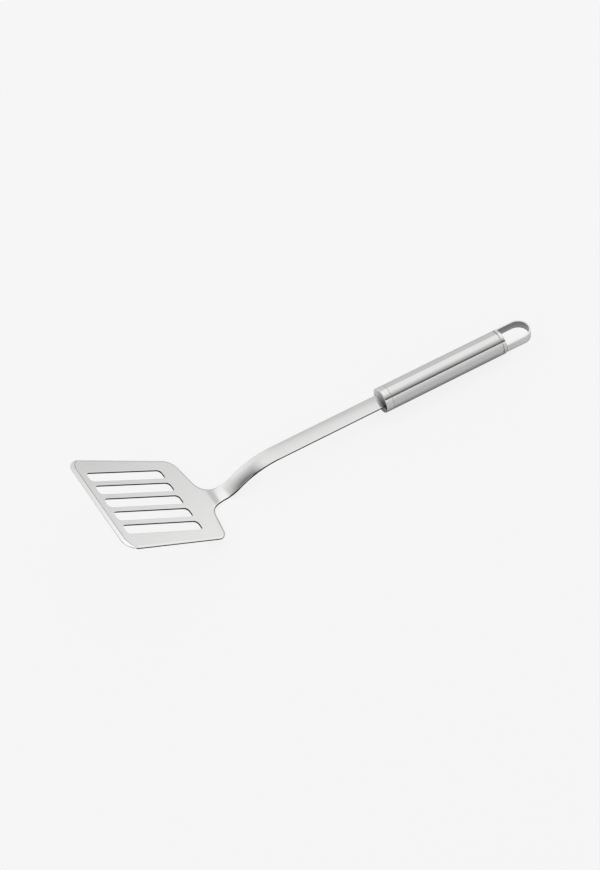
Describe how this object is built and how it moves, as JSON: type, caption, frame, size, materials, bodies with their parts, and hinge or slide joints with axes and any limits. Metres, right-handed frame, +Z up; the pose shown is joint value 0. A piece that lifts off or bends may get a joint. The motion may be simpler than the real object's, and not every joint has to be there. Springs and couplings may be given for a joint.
{
  "type": "pancake spatula",
  "caption": "Steel slotted turner: broad flat blade with long slots, S-bent neck, flat stem, and a round tube handle with a hanging loop.",
  "frame": {"origin": "on the table, under the middle of the part's box as it lies at rest", "axes": "+X from the blade to the handle's loop, +Y across the blade, +Z up"},
  "size_m": [0.332, 0.0896, 0.0496],
  "materials": {
    "slotted_blade": "satin",
    "front_cap": "satin",
    "handle_tube": "satin",
    "end_cap": "satin",
    "hanging_loop": "satin"
  },
  "bodies": {
    "root": {"slotted_blade": "slotted_blade", "front_cap": "front_cap", "handle_tube": "handle_tube", "end_cap": "end_cap", "hanging_loop": "hanging_loop"}
  },
  "joints": []
}
